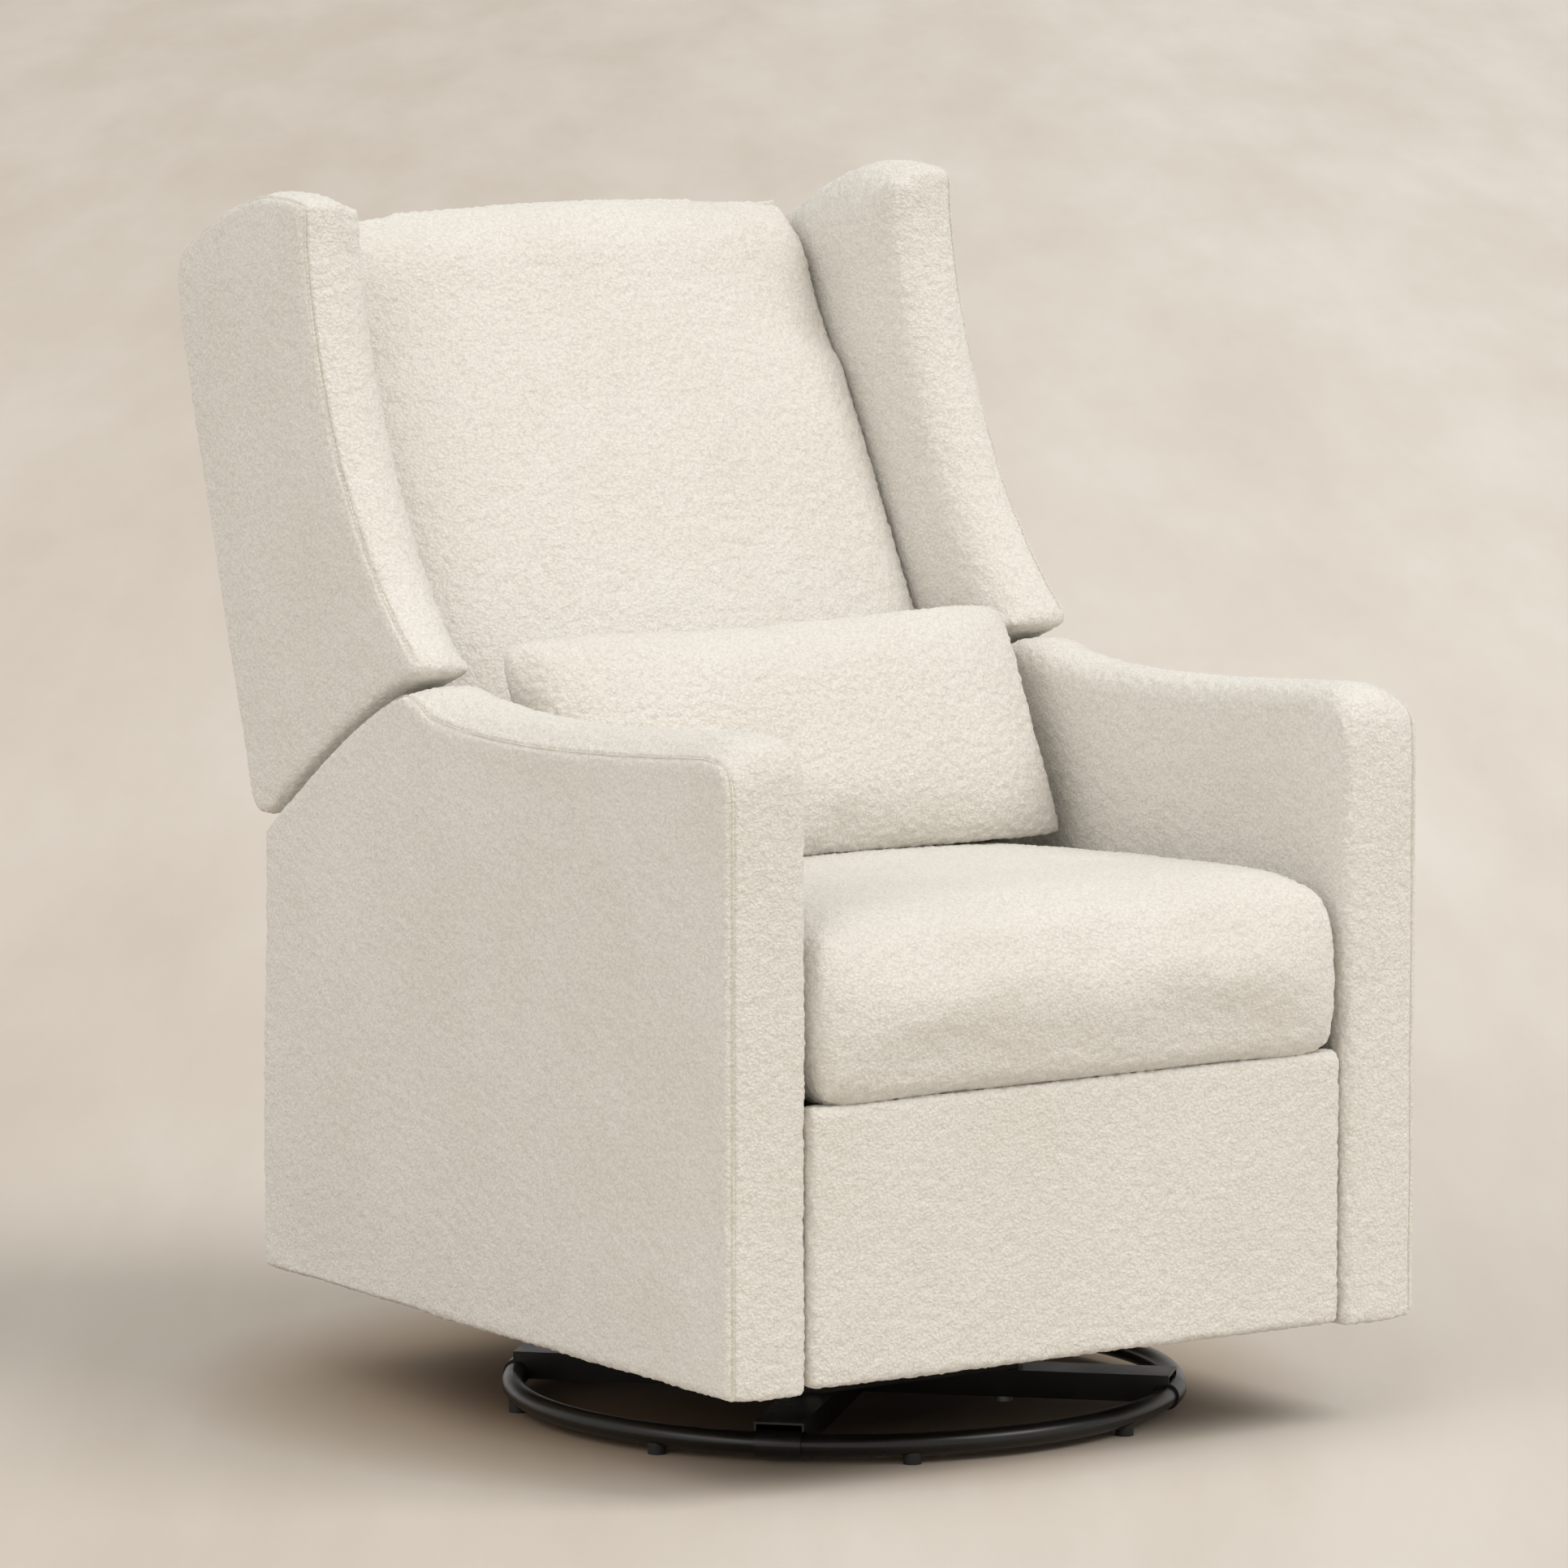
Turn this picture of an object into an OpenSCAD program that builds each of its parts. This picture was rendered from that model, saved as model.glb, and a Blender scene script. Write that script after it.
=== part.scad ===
// Powered glider recliner for a nursery: ring base, swivel, glide links, body,
// sliding seat, reclining wing back, folding footrest and a loose lumbar pillow.
// +Z is up, the sitter faces -Y, and the origin is on the floor at the swivel axis.

/* [Body] */
// Width over both arms
body_w = 720; // [700:2:740]
// Thickness of one arm
arm_t = 81.5; // [78:0.5:84]
// Distance of the arms' front faces ahead of the swivel axis
arm_front = 362; // [350:1:370]
// Distance of the arms' rear faces behind the swivel axis
arm_back = 402; // [398:1:404]
// Height of the body's underside above the floor
body_z = 90.5; // [88:0.5:92]
// Height of the arms' crown at the front
arm_top = 650; // [640:1:655]

/* [Seat and back] */
// Height of the seat cushion's underside
cushion_z = 333; // [333:1:336]
// Height of the seat cushion's crown
cushion_top = 496; // [480:1:500]
// Height of the wings
wing_top = 1058; // [1050:1:1070]
// Height of the back cushion's crown
back_top = 1030; // [1015:1:1040]
// Width of the lumbar pillow
pillow_w = 520; // [440:5:530]
// Height of the lumbar pillow along its face
pillow_h = 236; // [200:2:240]

/* [Base] */
// Radius of the ring's centre line
ring_r = 291.5; // [285:0.5:300]
// Diameter of the ring's tube
ring_d = 19.5; // [18:0.5:20]
// Height of the ring's centre line
ring_z = 17; // [17:0.5:18]

/* [Mechanism] */
// Length of the glide links between their pins
glide_l = 155; // [150:1:158]
// Radius of the main pivot pins
pin_r = 5; // [4:0.5:5.5]

/* [Hidden] */
$fn = 48;

fabric = [0.90, 0.87, 0.81];
black = [0.06, 0.06, 0.065];
steel = [0.62, 0.63, 0.65];
timber = [0.76, 0.62, 0.43];

fit = 0.05;                       // radial clearance of every running and fixed pin
half_w = body_w / 2;
arm_in = half_w - arm_t;          // inner face of each arm
inner_w = arm_in - 2.5;           // half width of the cushions between the arms
ring_tube_r = ring_d / 2;

// Height levels of the swivel
arm_tube = [44, 24];              // width and height of the crossed tubes
arm_tube_z = 12;
plate_t = 4;
lower_plate_z = arm_tube_z + arm_tube[1];
race_z = lower_plate_z + plate_t;
race_h = 6;
ball_r = 4;
ball_circle = 90;
upper_plate_z = race_z + 14;
spindle_r = 8;
rail_z = upper_plate_z + plate_t;
rail_h = 20;
rail_y = 110;
bolt_at = 101;                    // the arm bolts' distance along X and Y

// Glide: stand, link and rail are three lanes beside each other
stand_x = 223;
link_x = 229;
glide_x = 235;
lane_t = 4;
glide_y = 125;
glide_top_z = 280;
glide_low_z = glide_top_z - glide_l;

// Recliner: pivots as [y, z], lanes as distances from the middle plane
recline_at = [300, 340];
foot_at = [-230, 298];            // pivot of the footrest's drive links
elbow_at = [-180.5, 135.4];
panel_at = [-306, 250];
plate_x = arm_in - lane_t;
drive_x = 268;
mid_x = 262;
bracket_x = 256;
seat_rail_x = 250;
slide_at = [[-170, 321], [130, 321]];
seat_travel = 40;
tube_z = 104;                     // lower chassis tubes
tube_y = [-270, 250];
motor_bar_at = [225, 285];
actuator_z = 262;
rod_rail_y = -150;                // front of the seat rail that the rod pushes

// A quadratic and a cubic curve through a plane
function quad(a, b, c, n = 8) =
    [for (i = [0:n]) let (t = i / n) a * pow(1 - t, 2) + b * 2 * t * (1 - t) + c * pow(t, 2)];
function cubic(a, b, c, d, n = 10) =
    [for (i = [0:n]) let (t = i / n)
        a * pow(1 - t, 3) + b * 3 * t * pow(1 - t, 2) + c * 3 * pow(t, 2) * (1 - t) + d * pow(t, 3)];
function towards(p, q, d) = p + (q - p) * d / norm(q - p);
// The back shell leans: y of its rear face at height z
function rear_y(z) = 428 + (z - 507) * 0.2815;
// y of the back cushion's front face at height z
function front_y(z) = 140 + (z - 480) * 0.562;

// Wing outline as [y, z]; its lower edge is an arc that swings clear of the arm
wing_x = [280, 350];
wing_low = quad([394, 501], [235, 622], [150, 648]);
wing_outline = concat(
    wing_low,
    cubic([148, 662], [250, 745], [308, 895], [330, wing_top - 48]),
    quad([333, wing_top - 8], [350, wing_top - 2], [376, wing_top - 2], 5),
    quad([400, wing_top - 2], [460, wing_top - 12], [519, wing_top - 46], 6),
    quad([545, wing_top - 58], [558, wing_top - 75], [553, wing_top - 107], 4),
    quad([548, wing_top - 135], [470, 650], [428, 507], 6),
    [[416, 497]]);
arm_clearance = 8;
arm_slope = [for (p = wing_low) towards(p, recline_at, arm_clearance)];
arm_outline = concat(
    [[-arm_front, body_z], [arm_back, body_z], [393, 478]],
    arm_slope,
    cubic([130, arm_top - 8], [50, arm_top - 24], [-70, arm_top - 24], [-312, arm_top], 8),
    quad([-325, arm_top], [-arm_front, arm_top], [-arm_front, arm_top - 44], 6));

// Extrudes a [y, z] outline along X from x0 to x1
module yz(x0, x1) {
    translate([x0, 0, 0]) rotate([90, 0, 90]) linear_extrude(x1 - x0) children();
}

// Extrudes an [x, z] outline along Y from y0 to y1
module xz(y0, y1) {
    translate([0, y1, 0]) rotate([90, 0, 0]) linear_extrude(y1 - y0) children();
}

// Draws its children on the left and mirrored on the right
module pair() {
    children();
    mirror([1, 0, 0]) children();
}

// A round bar along X at [y, z]
module bar(at, r, x0, x1) {
    translate([x0, at[0], at[1]]) rotate([0, 90, 0]) cylinder(h = x1 - x0, r = r);
}

// A flat link with round ends and a bore at each end
module link(a, b, r, x0, bore) {
    side = [a[1] - b[1], b[0] - a[0]] * r / norm(b - a);
    yz(x0, x0 + lane_t) difference() {
        union() {
            translate(a) circle(r);
            translate(b) circle(r);
            polygon([a + side, b + side, b - side, a - side]);
        }
        translate(a) circle(bore);
        translate(b) circle(bore);
    }
}

module ring_tube(r, wall = 0) {
    rotate_extrude($fn = 96) translate([ring_r, ring_z]) difference() {
        circle(r);
        if (wall > 0) circle(r - wall);
    }
}

module base_ring() {
    color(black) ring_tube(ring_tube_r, 2);
}

module ring_sleeves() {
    sleeve_deg = 7.7;
    color(black) for (a = [45:90:315])
        rotate([0, 0, a - sleeve_deg / 2])
            rotate_extrude(angle = sleeve_deg, $fn = 96) translate([ring_r, ring_z]) difference() {
                circle(ring_tube_r + 2.2);
                circle(ring_tube_r + fit);
            }
}

module cross_arms() {
    wall = 2;
    reach = ring_r + 2;
    color(black) difference() {
        for (a = [45, 135]) rotate([0, 0, a])
            translate([-reach, -arm_tube[0] / 2, arm_tube_z]) cube([2 * reach, arm_tube[0], arm_tube[1]]);
        for (a = [45, 135]) rotate([0, 0, a])
            translate([-reach - 1, -arm_tube[0] / 2 + wall, arm_tube_z + wall])
                cube([2 * reach + 2, arm_tube[0] - 2 * wall, arm_tube[1] - 2 * wall]);
        ring_tube(ring_tube_r + 2.2 + fit);
        for (x = [-1, 1], y = [-1, 1]) translate([x * bolt_at, y * bolt_at, 0]) cylinder(h = 60, r = 4.3);
        cylinder(h = 60, r = spindle_r + fit);
    }
}

module foot_pads() {
    color([0.1, 0.1, 0.1]) difference() {
        for (a = [22.5:45:360]) rotate([0, 0, a]) translate([ring_r, 0, 0]) cylinder(h = 10.5, r = 8);
        ring_tube(ring_tube_r + fit);
    }
}

module arm_bolts() {
    color(black) for (x = [-1, 1], y = [-1, 1]) translate([x * bolt_at, y * bolt_at, 0]) {
        translate([0, 0, arm_tube_z - 7]) cylinder(h = 7, r = 8.5);
        translate([0, 0, arm_tube_z - 1]) cylinder(h = 35, r = 4.2);
        translate([0, 0, race_z]) cylinder(h = 6, r = 7, $fn = 6);
    }
}

module square_plate(size, z, bore, holes) {
    corner = 30;
    translate([0, 0, z]) difference() {
        intersection() {
            translate([-size / 2, -size / 2, 0]) cube([size, size, plate_t]);
            rotate([0, 0, 45]) translate([-size * 0.66, -size * 0.66, 0])
                cube([size * 1.32, size * 1.32, plate_t]);
        }
        translate([0, 0, -1]) cylinder(h = plate_t + 2, r = bore);
        for (p = holes) translate([p[0], p[1], -1]) cylinder(h = plate_t + 2, r = 4.3);
    }
}

corner_holes = [for (x = [-1, 1], y = [-1, 1]) [x * bolt_at, y * bolt_at]];
rail_holes = [for (x = [-85, 85], y = [-rail_y, rail_y]) [x, y]];

module swivel_lower_plate() {
    color(black) square_plate(240, lower_plate_z, spindle_r + fit, corner_holes);
}

ball_z = race_z + 7;

module race(z, groove_clearance) {
    difference() {
        translate([0, 0, z]) cylinder(h = race_h, r = ball_circle + 9);
        translate([0, 0, z - 1]) cylinder(h = race_h + 2, r = ball_circle - 9);
        rotate_extrude() translate([ball_circle, ball_z]) circle(ball_r + groove_clearance);
    }
}

module bearing_lower_race() {
    color(steel) race(race_z, fit);
}

module bearing_balls() {
    balls = 24;
    color(steel) for (i = [0:balls - 1]) rotate([0, 0, i * 360 / balls])
        translate([ball_circle, 0, ball_z]) sphere(ball_r, $fn = 24);
}

module bearing_upper_race() {
    color(steel) race(upper_plate_z - race_h, 0.3);
}

module swivel_spindle() {
    color(steel) {
        translate([0, 0, arm_tube_z + 4]) cylinder(h = rail_z + 12 - arm_tube_z - 4, r = spindle_r);
        translate([0, 0, race_z]) cylinder(h = 6, r = 20);
    }
}

module spindle_nut() {
    color(steel) difference() {
        union() {
            translate([0, 0, rail_z + 0.3]) cylinder(h = 2, r = 18);
            translate([0, 0, rail_z + 2.3]) cylinder(h = 8, r = 13, $fn = 6);
        }
        translate([0, 0, rail_z - 1]) cylinder(h = 14, r = spindle_r + fit);
    }
}

module swivel_upper_plate() {
    color(black) square_plate(250, upper_plate_z, spindle_r + fit, rail_holes);
}

module lower_rails() {
    rail_w = 30;
    wall = 2;
    color(black) difference() {
        for (y = [-rail_y, rail_y]) translate([-245, y - rail_w / 2, rail_z]) difference() {
            cube([490, rail_w, rail_h]);
            translate([-1, wall, wall]) cube([492, rail_w - 2 * wall, rail_h - 2 * wall]);
        }
        for (p = rail_holes) translate([p[0], p[1], rail_z - 1]) cylinder(h = rail_h + 2, r = 4.3);
        for (x = [-210, 210], y = [-rail_y, rail_y])
            translate([x, y, rail_z - 1]) cylinder(h = rail_h + 2, r = 4.3);
    }
}

// Upright plate with a foot flange; its horns carry the links' upper pins
module glide_stand() {
    foot_z = rail_z + rail_h;
    color(black) {
        yz(stand_x, stand_x + lane_t) difference() {
            union() {
                polygon([[-140, foot_z], [140, foot_z], [140, foot_z + 36], [glide_y + 14, glide_top_z],
                    [glide_y - 14, glide_top_z], [75, foot_z + 90], [-75, foot_z + 90],
                    [-glide_y + 14, glide_top_z], [-glide_y - 14, glide_top_z], [-140, foot_z + 36]]);
                for (s = [-1, 1]) translate([s * glide_y, glide_top_z]) circle(14);
            }
            for (s = [-1, 1]) translate([s * glide_y, glide_top_z]) circle(pin_r + fit);
        }
        difference() {
            translate([stand_x - 30, -140, foot_z]) cube([30, 280, lane_t]);
            for (y = [-rail_y, rail_y]) translate([210, y, foot_z - 1]) cylinder(h = lane_t + 2, r = 4.3);
        }
    }
}

module glide_stand_left() {
    glide_stand();
}

module glide_stand_right() {
    mirror([1, 0, 0]) glide_stand();
}

module stand_bolts() {
    color(steel) {
        for (x = [-210, 210], y = [-rail_y, rail_y]) translate([x, y, 0]) {
            translate([0, 0, rail_z - 5]) cylinder(h = 5, r = 7, $fn = 6);
            translate([0, 0, rail_z - 1]) cylinder(h = rail_h + 13, r = 4.2);
            translate([0, 0, rail_z + rail_h + plate_t]) cylinder(h = 6, r = 7, $fn = 6);
        }
        for (p = rail_holes) translate([p[0], p[1], 0]) {
            translate([0, 0, upper_plate_z - 4]) cylinder(h = 4, r = 7, $fn = 6);
            translate([0, 0, upper_plate_z - 1]) cylinder(h = 31, r = 4.2);
            translate([0, 0, rail_z + rail_h]) cylinder(h = 6, r = 7, $fn = 6);
        }
    }
}

module glide_upper_pins() {
    color(steel) pair() for (s = [-1, 1]) {
        bar([s * glide_y, glide_top_z], pin_r, stand_x - 3, link_x + lane_t + 1);
        bar([s * glide_y, glide_top_z], pin_r + 3, stand_x - 3, stand_x - 0.1);
    }
}

module glide_link_pair(y) {
    color(steel) pair() link([y, glide_top_z], [y, glide_low_z], 13, link_x, pin_r + fit);
}

module front_glide_links() {
    glide_link_pair(-glide_y);
}

module rear_glide_links() {
    glide_link_pair(glide_y);
}

module glide_lower_pins() {
    color(steel) pair() for (s = [-1, 1])
        bar([s * glide_y, glide_low_z], pin_r, link_x - 1, glide_x + lane_t + 4);
}

// Long rail that hangs on the links and carries the chassis tubes
module glide_rail() {
    color(black) yz(glide_x, glide_x + lane_t) difference() {
        polygon([[-288, 91], [268, 91], [268, 118], [150, 142], [-150, 142], [-288, 118]]);
        for (s = [-1, 1]) translate([s * glide_y, glide_low_z]) circle(pin_r + fit);
        for (y = tube_y) translate([y, tube_z]) circle(11 + fit);
    }
}

module glide_rail_left() {
    glide_rail();
}

module glide_rail_right() {
    mirror([1, 0, 0]) glide_rail();
}

module chassis_tubes() {
    tube_wall = 2;
    color(black) difference() {
        union() {
            for (y = tube_y) bar([y, tube_z], 11, -arm_in, arm_in);
            pair() for (y = tube_y) translate([arm_in - 3, y - 22, 93]) cube([3, 44, 60]);
            bar(motor_bar_at, 9, -arm_in, arm_in);
        }
        for (y = tube_y) bar([y, tube_z], 11 - tube_wall, -arm_in - 1, arm_in + 1);
        bar(motor_bar_at, 9 - tube_wall, -arm_in - 1, arm_in + 1);
    }
}

// Timber board inside an arm, open to the body's underside
frame_x = [arm_in + 14, arm_in + 36];
module arm_board() {
    polygon([[-335, body_z], [375, body_z], [370, 455], [150, 600], [-335, 605]]);
}

module arm_frame_left() {
    color(timber) yz(frame_x[0], frame_x[1]) arm_board();
}

module arm_frame_right() {
    mirror([1, 0, 0]) arm_frame_left();
}

// Padded arm: side outline crossed with a crowned front outline, hollow for its board
module arm_left() {
    crown = quad([half_w, arm_top - 24], [half_w - 8, arm_top + 6], [arm_in + 34, arm_top], 4);
    inner = quad([arm_in + 24, arm_top], [arm_in + 4, arm_top + 2], [arm_in, arm_top - 22], 4);
    color(fabric) difference() {
        intersection() {
            yz(arm_in, half_w) polygon(arm_outline);
            xz(-arm_front - 1, arm_back + 1)
                polygon(concat([[arm_in, body_z - 1], [half_w, body_z - 1]], crown, inner));
        }
        yz(frame_x[0], frame_x[1]) arm_board();
    }
}

control_at = [-232, 566];
control_size = [64, 34];
button_y = [control_at[0] - 15, control_at[0] + 15];
control_depth = 12;

module arm_right() {
    color(fabric) difference() {
        mirror([1, 0, 0]) arm_left();
        translate([-arm_in - control_depth, control_at[0] - control_size[0] / 2,
            control_at[1] - control_size[1] / 2])
            cube([control_depth + 1, control_size[0], control_size[1]]);
    }
}

module rear_panel() {
    color(fabric) translate([-arm_in, 382, body_z]) cube([2 * arm_in, 16, 375 - body_z]);
}

// Side plate with the fixed pivots of the back, the seat slide and the footrest
module recliner_plate() {
    color(black) yz(plate_x, arm_in) difference() {
        union() {
            polygon([[foot_at[0], 277], [recline_at[0] - 60, 272], [recline_at[0] + 14, 326],
                [recline_at[0] - 20, 338], [recline_at[0] - 26, 331], [foot_at[0], 331]]);
            translate([foot_at[0], 304]) circle(27);
            translate(recline_at) circle(20);
        }
        translate(foot_at) circle(pin_r + fit);
        translate(recline_at) circle(8 + fit);
        translate(motor_bar_at) circle(9 + fit);
        for (p = slide_at) translate(p) circle(pin_r + fit);
    }
}

module recliner_plate_left() {
    recliner_plate();
}

module recliner_plate_right() {
    mirror([1, 0, 0]) recliner_plate();
}

module recliner_pins() {
    color(steel) pair() {
        bar(foot_at, pin_r, mid_x, arm_in);
        bar(recline_at, 8, mid_x, arm_in);
        for (p = slide_at) bar(p, pin_r, seat_rail_x + 0.2, arm_in);
    }
}

module actuator_motor() {
    color(black) difference() {
        union() {
            translate([-34, 130, actuator_z - 30]) cube([68, 68, 52]);
            translate([-12, 198, actuator_z - 8]) cube([24, 44, 46]);
        }
        bar(motor_bar_at, 9 + fit, -13, 13);
        translate([0, 60, actuator_z]) rotate([-90, 0, 0]) cylinder(h = 80, r = 9.5);
    }
}

module actuator_tube() {
    color([0.25, 0.26, 0.28]) difference() {
        translate([0, -40, actuator_z]) rotate([-90, 0, 0]) cylinder(h = 170, r = 15);
        translate([0, -41, actuator_z]) rotate([-90, 0, 0]) cylinder(h = 172, r = 9);
    }
}

module actuator_rod() {
    color(steel) {
        translate([0, rod_rail_y, actuator_z]) rotate([-90, 0, 0]) cylinder(h = 264, r = 8.95);
        translate([-9, rod_rail_y, actuator_z - 14]) cube([18, 12, 312 - actuator_z + 14]);
    }
}

module control_bezel() {
    z0 = control_at[1] - control_size[1] / 2;
    y0 = control_at[0] - control_size[0] / 2;
    color([0.12, 0.12, 0.13]) difference() {
        union() {
            translate([-arm_in - control_depth, y0, z0])
                cube([control_depth, control_size[0], control_size[1]]);
            translate([-arm_in, y0 - 3, z0 - 3]) cube([2, control_size[0] + 6, control_size[1] + 6]);
        }
        for (y = button_y) bar([y, control_at[1] + 3], 8.5 + fit, -arm_in - control_depth + 2, -arm_in + 3);
        translate([-arm_in - 9, control_at[0] - 7, z0 + 1]) cube([12, 14, 5]);
    }
}

module usb_port() {
    color(steel) translate([-arm_in - 9, control_at[0] - 7, control_at[1] - control_size[1] / 2 + 1])
        difference() {
            cube([11, 14, 5]);
            translate([3, 1.2, 1.2]) cube([9, 11.6, 2.6]);
        }
}

module button(y) {
    color([0.75, 0.76, 0.77]) bar([y, control_at[1] + 3], 8.5, -arm_in - control_depth + 5, -arm_in + 5);
}

module recline_button() {
    button(button_y[0]);
}

module return_button() {
    button(button_y[1]);
}

module power_inlet() {
    color(black) translate([-200, 398, 150]) rotate([-90, 0, 0]) difference() {
        cylinder(h = 3, r = 9);
        translate([0, 0, 1]) cylinder(h = 3, r = 2.75);
    }
}

module seat_side_rails() {
    slot_z = slide_at[0][1];
    slot_r = pin_r + fit;
    color(black) pair() yz(seat_rail_x, seat_rail_x + lane_t) difference() {
        polygon([[-314, 310], [250, 310], [250, 332], [-314, 332]]);
        for (p = slide_at) {
            translate([p[0] - 1, slot_z - slot_r]) square([seat_travel + 2, 2 * slot_r]);
            translate([p[0] - 1, slot_z]) circle(slot_r);
            translate([p[0] + seat_travel + 1, slot_z]) circle(slot_r);
        }
    }
}

module seat_cross_rails() {
    color(timber) for (rail = [[-314, 30], [rod_rail_y, 12], [214, 30]])
        translate([-seat_rail_x, rail[0], 312]) cube([2 * seat_rail_x, rail[1], 14]);
}

// Zigzag wire lying in the XY plane, from y0 to y1
module wire(y0, y1, swing, pitch, w) {
    steps = 8;
    count = round((y1 - y0) / pitch) * steps;
    dy = (y1 - y0) / count;
    function along(i) = [swing * sin(i * 360 / steps), y0 + i * dy];
    function slope(i) = swing * cos(i * 360 / steps) * 2 * PI / (steps * dy);
    function side(i) = [1, -slope(i)] / norm([1, slope(i)]) * w / 2;
    linear_extrude(w) polygon(concat(
        [for (i = [0:count]) along(i) + side(i)],
        [for (i = [count:-1:0]) along(i) - side(i)]));
}

module seat_springs() {
    color(steel) for (x = [-180:90:180]) translate([x, 0, 326.3]) wire(-300, 232, 20, 48, 3.5);
}

// Seat cushion: crowned top and front, lower at the rear
module seat_cushion() {
    side = concat([[275, cushion_z], [275, 450]],
        quad([100, 458], [-140, cushion_top - 8], [-330, cushion_top - 2], 6),
        quad([-352, cushion_top - 6], [-384, cushion_top - 18], [-384, cushion_top - 84], 4),
        [[-372, cushion_z]]);
    edge = cushion_top - 28;
    front = concat([[-inner_w, cushion_z - 1], [inner_w, cushion_z - 1], [inner_w, edge]],
        quad([inner_w - 10, edge + 14], [0, cushion_top + 16], [10 - inner_w, edge + 14], 8),
        [[-inner_w, edge]]);
    color(fabric) intersection() {
        yz(-inner_w, inner_w) polygon(side);
        xz(-386, 276) polygon(front);
    }
}

// y of the surface that lies "back" ahead of the back's rear face
function shell_y(z, back) = rear_y(z) - back;
post_x = [242, drive_x];
back_bottom = 462;

module band(z0, z1, front, back) {
    polygon([[shell_y(z0, front), z0], [shell_y(z0, back), z0],
        [shell_y(z1, back), z1], [shell_y(z1, front), z1]]);
}

// Back frame: two posts and three rails in the plane of the leaning back
module back_frame() {
    color(timber) {
        pair() yz(post_x[0], post_x[1]) polygon([[312, 402], [312, 440], [386, 507],
            [shell_y(945, 42), 945], [shell_y(945, 18), 945], [411, 507], [385, 470], [334, 402]]);
        yz(-post_x[0], post_x[0]) polygon([[312, 402], [334, 402], [334, 440], [312, 440]]);
        for (z = [600, 905]) yz(-post_x[0], post_x[0]) band(z, z + 40, 42, 18);
    }
}

module back_brackets() {
    color(black) pair() yz(drive_x, drive_x + lane_t) difference() {
        union() {
            translate(recline_at) circle(18);
            polygon([[283, 340], [318, 340], [334, 402], [385, 470], [386, 507], [312, 440], [312, 396]]);
        }
        translate(recline_at) circle(8 + fit);
    }
}

module back_springs() {
    lean = atan(0.2815);
    color(steel) for (x = [-150:75:150])
        translate([x, shell_y(630, 34), 630]) rotate([90 - lean, 0, 0])
            translate([0, 0, -2]) wire(13, 284, 18, 45, 3);
}

// Board in the wing's inner side, where the back cushion covers it
module wing_board() {
    polygon([[352, 560], [shell_y(560, 16), 560], [shell_y(930, 16), 930], [470, 970], [450, 930]]);
}

module wing_boards() {
    color(timber) pair() yz(wing_x[0], wing_x[0] + 12) wing_board();
}

// Back cushion: leaning front face, crowned top, narrow foot behind the seat cushion
module back_cushion() {
    shape = concat([[front_y(back_bottom), back_bottom], [290, back_bottom], [290, 402],
            [311, 402], [311, 441], [385, 508],
            [shell_y(980, 43), 980]],
        quad([shell_y(980, 43), back_top - 8], [475, back_top + 4], [front_y(980), back_top - 40], 5));
    top = concat([[-inner_w, 400], [inner_w, 400], [inner_w, back_top - 18]],
        quad([inner_w - 6, back_top - 13], [0, back_top + 12], [6 - inner_w, back_top - 13], 6),
        [[-inner_w, back_top - 18]]);
    color(fabric) intersection() {
        yz(-inner_w, inner_w) polygon(shape);
        xz(100, 560) polygon(top);
    }
}

module wing_left() {
    color(fabric) difference() {
        yz(wing_x[0], wing_x[1]) polygon(wing_outline);
        yz(wing_x[0], wing_x[0] + 12) wing_board();
    }
}

module wing_right() {
    mirror([1, 0, 0]) wing_left();
}

// Upholstered rear of the back, with a tail that hides the gap above the rear panel
module outside_back() {
    color(fabric) yz(0.5 - wing_x[0], wing_x[0] - 0.5) polygon([[409, 385], [413, 385], [428, 507],
        [552, 951], [550, 985], [538, 1002], [519.5, 1015], [519.5, 975], [538.5, 960],
        [411.5, 508], [421, 500]]);
}

module footrest_drive_links() {
    color(black) pair() link(foot_at, elbow_at, 10, drive_x, pin_r + fit);
}

// Tube that turns both drive links together
module footrest_tube() {
    color(black) difference() {
        bar(foot_at, 9, -drive_x, drive_x);
        bar(foot_at, 7, -drive_x - 1, drive_x + 1);
    }
}

module elbow_pins() {
    color(steel) pair() bar(elbow_at, pin_r, mid_x - 1, drive_x + lane_t + 0.5);
}

module footrest_mid_links() {
    color(black) pair() link(elbow_at, panel_at, 10, mid_x, pin_r + fit);
}

module footrest_brackets() {
    color(black) pair() yz(bracket_x, bracket_x + lane_t) difference() {
        polygon([[-322, 205], [-296, 240], [-296, 260], [-322, 300]]);
        translate(panel_at) circle(pin_r + fit);
    }
}

module footrest_pins() {
    color(steel) pair() bar(panel_at, pin_r, bracket_x - 1, mid_x + lane_t + 1);
}

module footrest_board() {
    color(timber) translate([-inner_w + 8, -334, 100]) cube([2 * inner_w - 16, 12, 218]);
}

module footrest_pad() {
    color(fabric) translate([-inner_w, -arm_front, 94]) cube([2 * inner_w, arm_front - 334, 233]);
}

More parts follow.
